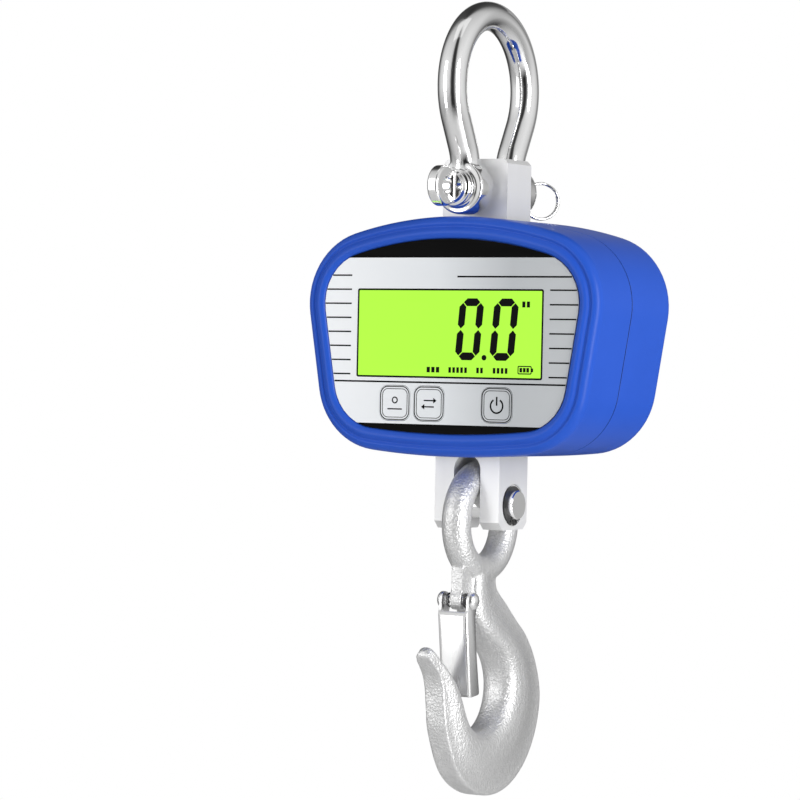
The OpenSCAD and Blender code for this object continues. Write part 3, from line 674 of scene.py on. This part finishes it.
DISPLAY_Z = -166.8
BORDER_W, BORDER_H = 116.4, 48.4        # the display's black border
TICK_Z, TICK_STEP = -135.4, 7.72        # the first side line, and the step down to the next
RULE_Z = -193.4

marks = [bar(-panel_edge(RULE_Z), RULE_Z - 0.45, panel_edge(RULE_Z), RULE_Z + 0.45),
         bar(4.8, -136.5, panel_edge(-136), -135.6)]
for i in range(8):
    z = TICK_Z - TICK_STEP * i
    marks.append(bar(-panel_edge(z), z - 0.4, -62.2, z + 0.4))
    if i:
        marks.append(bar(62, z - 0.4, panel_edge(z), z + 0.4))
marks.append(frame_strip(rounded(BORDER_W, BORDER_H, 1.2, 0, DISPLAY_Z),
                         rounded(BORDER_W - 2, BORDER_H - 2, 0.5, 0, DISPLAY_Z),
                         PANEL_Y - FILM, PANEL_Y - TOUCH))
print_piece("panel_print", marks)
# a black band in the seam's groove between the shells: painted shade of the gap
print_piece("seam_painted_shade", [frame_strip(outline(0.1), outline(1.0), SEAM_Y - 0.3, SEAM_Y + 0.3)])

film = prism(rounded(BORDER_W - 1.8, BORDER_H - 1.8, 0.6, 0, DISPLAY_Z, 3),
             PANEL_Y - THIN, PANEL_Y - TOUCH)
pane = prism(rounded(113.8, 46, 1, 0, DISPLAY_Z, 3), PANEL_Y, PANEL_Y + 1.2)
piece("lit_window", *join_parts([film, pane]), "display_lens", "scale", ["display_window"])

SEG_Y = (PANEL_Y - 2 * THIN, PANEL_Y - THIN)    # the segments' front and back
SEG_W = 4.2
DIGIT_W, DIGIT_H, DIGIT_Z = 15.1, 33.3, -181.0
SLANT = 0.09


def zero(x):
    """A seven-segment zero standing at x: its six lit segments as flat plates."""
    gap, c = 0.35, SEG_W / 2
    left, right, low, mid, top = c, DIGIT_W - c, c, DIGIT_H / 2, DIGIT_H - c
    lines = (((left, top), (right, top)), ((right, top), (right, mid)), ((right, mid), (right, low)),
             ((left, low), (right, low)), ((left, mid), (left, low)), ((left, top), (left, mid)))
    plates = []
    for start, end in lines:
        start, end = Vector(start), Vector(end)
        u = (end - start).normalized()
        v = Vector((-u.y, u.x))
        a, b = start + u * gap, end - u * gap
        hexagon = [a, a + (u + v) * c, b - (u - v) * c, b, b - (u + v) * c, a + (u - v) * c]
        plates.append(prism([(x + p.x + p.y * SLANT, DIGIT_Z + p.y) for p in hexagon], *SEG_Y))
    return plates


def lcd_bar(x0, x1, z0, z1):
    return box_mesh((x0, SEG_Y[0], z0), (x1, SEG_Y[1], z1))


digits = zero(3.9) + zero(25.3)
digits.append(prism([(22.3 + 1.5 * math.cos(a), -179.5 + 1.5 * math.sin(a)) for a in turns(32)],
                    *SEG_Y))
for x0, x1 in ((-13.4, -4.6), (0.3, 12.7), (17.7, 22.6), (27.9, 37.8)):     # small signs as bars
    n = max(2, round((x1 - x0) / 2.6))
    pitch = (x1 - x0) / n
    digits += [lcd_bar(x0 + pitch * k, x0 + pitch * (k + 1) - 0.9, -187.9, -184.9) for k in range(n)]
digits += [lcd_bar(x, x + 1.9, -152.4, -149.2) for x in (45.2, 48.0)]
digits.append(frame_strip(rounded(8.6, 4.6, 0.8, 47.4, -185.8, 3),
                          rounded(7.4, 3.4, 0.4, 47.4, -185.8, 3), *SEG_Y))     # battery sign
digits.append(lcd_bar(51.7, 52.6, -186.8, -184.8))
digits += [lcd_bar(44.3 + 2.1 * k, 45.9 + 2.1 * k, -187.0, -184.6) for k in range(3)]
print_piece("lcd_segments", digits)

# keys: two rounded outlines each and a plain sign
KEY_Y = lo("key_tare").y
KEY_Z = -204.9
KEYS = {"key_tare": ("tare_key", -33.1), "key_hold": ("hold_key", -11.5),
        "key_power": ("power_key", 30.8)}
SIGN_Y = (KEY_Y - FILM, KEY_Y - TOUCH)


def key_bar(x0, x1, z0, z1):
    return box_mesh((x0, SIGN_Y[0], KEY_Z + z0), (x1, SIGN_Y[1], KEY_Z + z1))


for key, (body, x) in KEYS.items():
    signs = [frame_strip(rounded(18.6, 18.4, 4.6, x, KEY_Z), rounded(17.6, 17.4, 4.2, x, KEY_Z),
                         *SIGN_Y),
             frame_strip(rounded(16.0, 15.8, 3.4, x, KEY_Z), rounded(15.3, 15.1, 3.1, x, KEY_Z),
                         *SIGN_Y)]
    if key == "key_power":      # a broken circle and a stroke
        mid = (x, KEY_Z - 0.4)
        signs.append(prism(arc(mid, 4.2, 122, 418, 40) + arc(mid, 3.3, 122, 418, 40)[::-1], *SIGN_Y))
        signs.append(key_bar(x - 0.45, x + 0.45, -0.2, 4.6))
    elif key == "key_tare":     # a circle over a line
        mid = (x, KEY_Z + 1.6)
        signs.append(frame_strip(arc(mid, 1.9, 0, 360, 32)[:-1], arc(mid, 1.2, 0, 360, 32)[:-1],
                                 *SIGN_Y))
        signs.append(key_bar(x - 4.6, x + 4.6, -3.6, -2.9))
    else:                       # two arrows
        for s in (-1, 1):
            signs.append(key_bar(x - 3.2, x + 3.2, s * 1.7 - 0.35, s * 1.7 + 0.35))
            z = KEY_Z + s * 1.7
            signs.append(prism([(x + s * 4.8, z), (x + s * 2.8, z + 1.5), (x + s * 2.8, z - 1.5)],
                               *SIGN_Y))
    print_piece(key + "_print", signs, body)

# ---- camera, light and floor ---------------------------------------------------------------

VIEW_W = 439.2          # the width of the view at the object
CAMERA_Z = -190.2
EYE_OVER_AIM = 13.176   # the camera stands this far above the point it looks at
AXIS_OFFSET = 45.5      # the object's axis stands this far right of the view's middle
DIST = 1900.0
SENSOR = 36
AZIMUTH = math.radians(31.4)
ROLL = math.radians(1.15)
forward = Vector((-math.sin(AZIMUTH), math.cos(AZIMUTH), 0))
right = Vector((math.cos(AZIMUTH), math.sin(AZIMUTH), 0))
cam_data = bpy.data.cameras.new("camera")
cam = bpy.data.objects.new("camera", cam_data)
bpy.context.scene.collection.objects.link(cam)
cam_data.sensor_width = SENSOR
cam_data.lens = SENSOR * DIST / VIEW_W
place = Vector((0, 0, CAMERA_Z)) - right * AXIS_OFFSET - forward * DIST
target = place + forward * DIST - Vector((0, 0, EYE_OVER_AIM))
cam.location = place * MM
look = (target - place).to_track_quat("-Z", "Y").to_matrix()
cam.rotation_euler = (look @ Matrix.Rotation(ROLL, 3, "Z")).to_euler()
bpy.context.scene.camera = cam
bpy.context.scene.view_settings.view_transform = "Standard"


MID = Vector((0, 0, -0.2))


def area(name, spot, size, power):
    """A soft light in metres and watts, turned to the object's middle."""
    data = bpy.data.lights.new(name, "AREA")
    data.shape = "RECTANGLE"
    data.size, data.size_y = size
    data.energy = power
    lamp = bpy.data.objects.new(name, data)
    bpy.context.scene.collection.objects.link(lamp)
    lamp.location = spot
    lamp.rotation_euler = (MID - Vector(spot)).to_track_quat("-Z", "Y").to_euler()


area("key_right", (1.5, -0.5, -0.15), (0.5, 1.5), 21)
area("fill_front", (-0.9, -1.6, 0.0), (0.6, 1.8), 9)
area("top", (0.1, -0.3, 1.3), (1.2, 0.8), 0.8)
area("back", (-0.4, 1.5, 0.2), (1.4, 1.0), 1.2)


FLATTEN = 0.08          # how far a direction's height counts, so that the walls stand upright
# round the room by how far a direction turns to the camera: 0 is away from it and 1 is at it
WALLS = ((0.0, 0.05), (0.12, 0.12), (0.32, 0.80), (0.60, 1.0), (0.90, 1.0), (0.965, 0.80),
         (0.988, 0.10), (1.0, 0.03))
HEIGHTS = ((0.0, 0.35), (0.35, 0.60), (0.5, 1.0), (0.72, 1.0), (1.0, 0.70))


def studio_world():
    """White to the camera. For light and reflections, a room with pale walls at the sides, a dark
    gap at the front and a dark wall behind, so that bright metal shows its edges."""
    world = bpy.data.worlds.new("studio")
    bpy.context.scene.world = world
    world.use_nodes = True
    tree = world.node_tree
    tree.nodes.clear()
    coords = node(tree, "ShaderNodeTexCoord").outputs["Generated"]

    def shares(value):
        made = node(tree, "ShaderNodeMapRange", {"From Min": -1.0, "From Max": 1.0})
        tree.links.new(value, made.inputs["Value"])
        return made.outputs[0]

    level = node(tree, "ShaderNodeVectorMath", {1: (1, 1, FLATTEN)}, operation="MULTIPLY")
    tree.links.new(coords, level.inputs[0])
    unit = node(tree, "ShaderNodeVectorMath", operation="NORMALIZE")
    tree.links.new(level.outputs[0], unit.inputs[0])
    facing = node(tree, "ShaderNodeVectorMath", {1: -forward}, operation="DOT_PRODUCT")
    tree.links.new(unit.outputs[0], facing.inputs[0])
    axes = node(tree, "ShaderNodeSeparateXYZ")
    tree.links.new(coords, axes.inputs[0])
    both = node(tree, "ShaderNodeMix", {"Factor": 1.0}, data_type="RGBA", blend_type="MULTIPLY")
    for socket, value, stops in ((6, facing.outputs["Value"], WALLS),
                                 (7, axes.outputs["Z"], HEIGHTS)):
        shades = ramp(tree, shares(value), [(share, grey(v)) for share, v in stops])
        tree.links.new(shades, both.inputs[socket])
    room = node(tree, "ShaderNodeBackground", {"Strength": 0.8})
    tree.links.new(both.outputs[2], room.inputs[0])
    white = node(tree, "ShaderNodeBackground", {"Color": (1, 1, 1, 1), "Strength": 1.0})
    path = node(tree, "ShaderNodeLightPath")
    mix = node(tree, "ShaderNodeMixShader")
    out = node(tree, "ShaderNodeOutputWorld")
    tree.links.new(path.outputs["Is Camera Ray"], mix.inputs[0])
    tree.links.new(room.outputs[0], mix.inputs[1])
    tree.links.new(white.outputs[0], mix.inputs[2])
    tree.links.new(mix.outputs[0], out.inputs[0])


studio_world()

FLOOR_Z = -950          # the scale hangs, so the floor lies well below it
FLOOR_R = 2600


def floor_material():
    """Pale and matte, fading out towards the rim."""
    mat, tree, bsdf = new_material("floor")
    bsdf.inputs["Base Color"].default_value = (0.86, 0.86, 0.86, 1)
    bsdf.inputs["Roughness"].default_value = 0.9
    coords = node(tree, "ShaderNodeTexCoord")
    length = node(tree, "ShaderNodeVectorMath", operation="LENGTH")
    tree.links.new(coords.outputs["Object"], length.inputs[0])
    fade = node(tree, "ShaderNodeMapRange",
                {"From Min": 1.1, "From Max": 2.5, "To Min": 1.0, "To Max": 0.0})
    tree.links.new(length.outputs["Value"], fade.inputs["Value"])
    tree.links.new(fade.outputs[0], bsdf.inputs["Alpha"])
    return mat


materials["floor"] = floor_material()
floor_ring = [(FLOOR_R * math.cos(a), FLOOR_R * math.sin(a), FLOOR_Z) for a in turns(96)]
piece("floor", floor_ring, [tuple(range(96))], "floor", None)

# ---- CAD nodes that keep their shape ---------------------------------------------------------

for name, obj in nodes.items():
    obj.data.materials.clear()
    obj.data.materials.append(materials[slot_of[name]])
for name in ("load_cell", "battery_cover", "hook_pin", "key_tare", "key_hold", "key_power",
             "circlips", "top_seal", "bottom_seal", "charge_socket", "cover_screws", "case_screws"):
    mod = nodes[name].modifiers.new("edge", "BEVEL")
    mod.width = 0.0004
    mod.segments = 2
    mod.limit_method = "ANGLE"
    mod.angle_limit = math.radians(32)
    mod.harden_normals = True
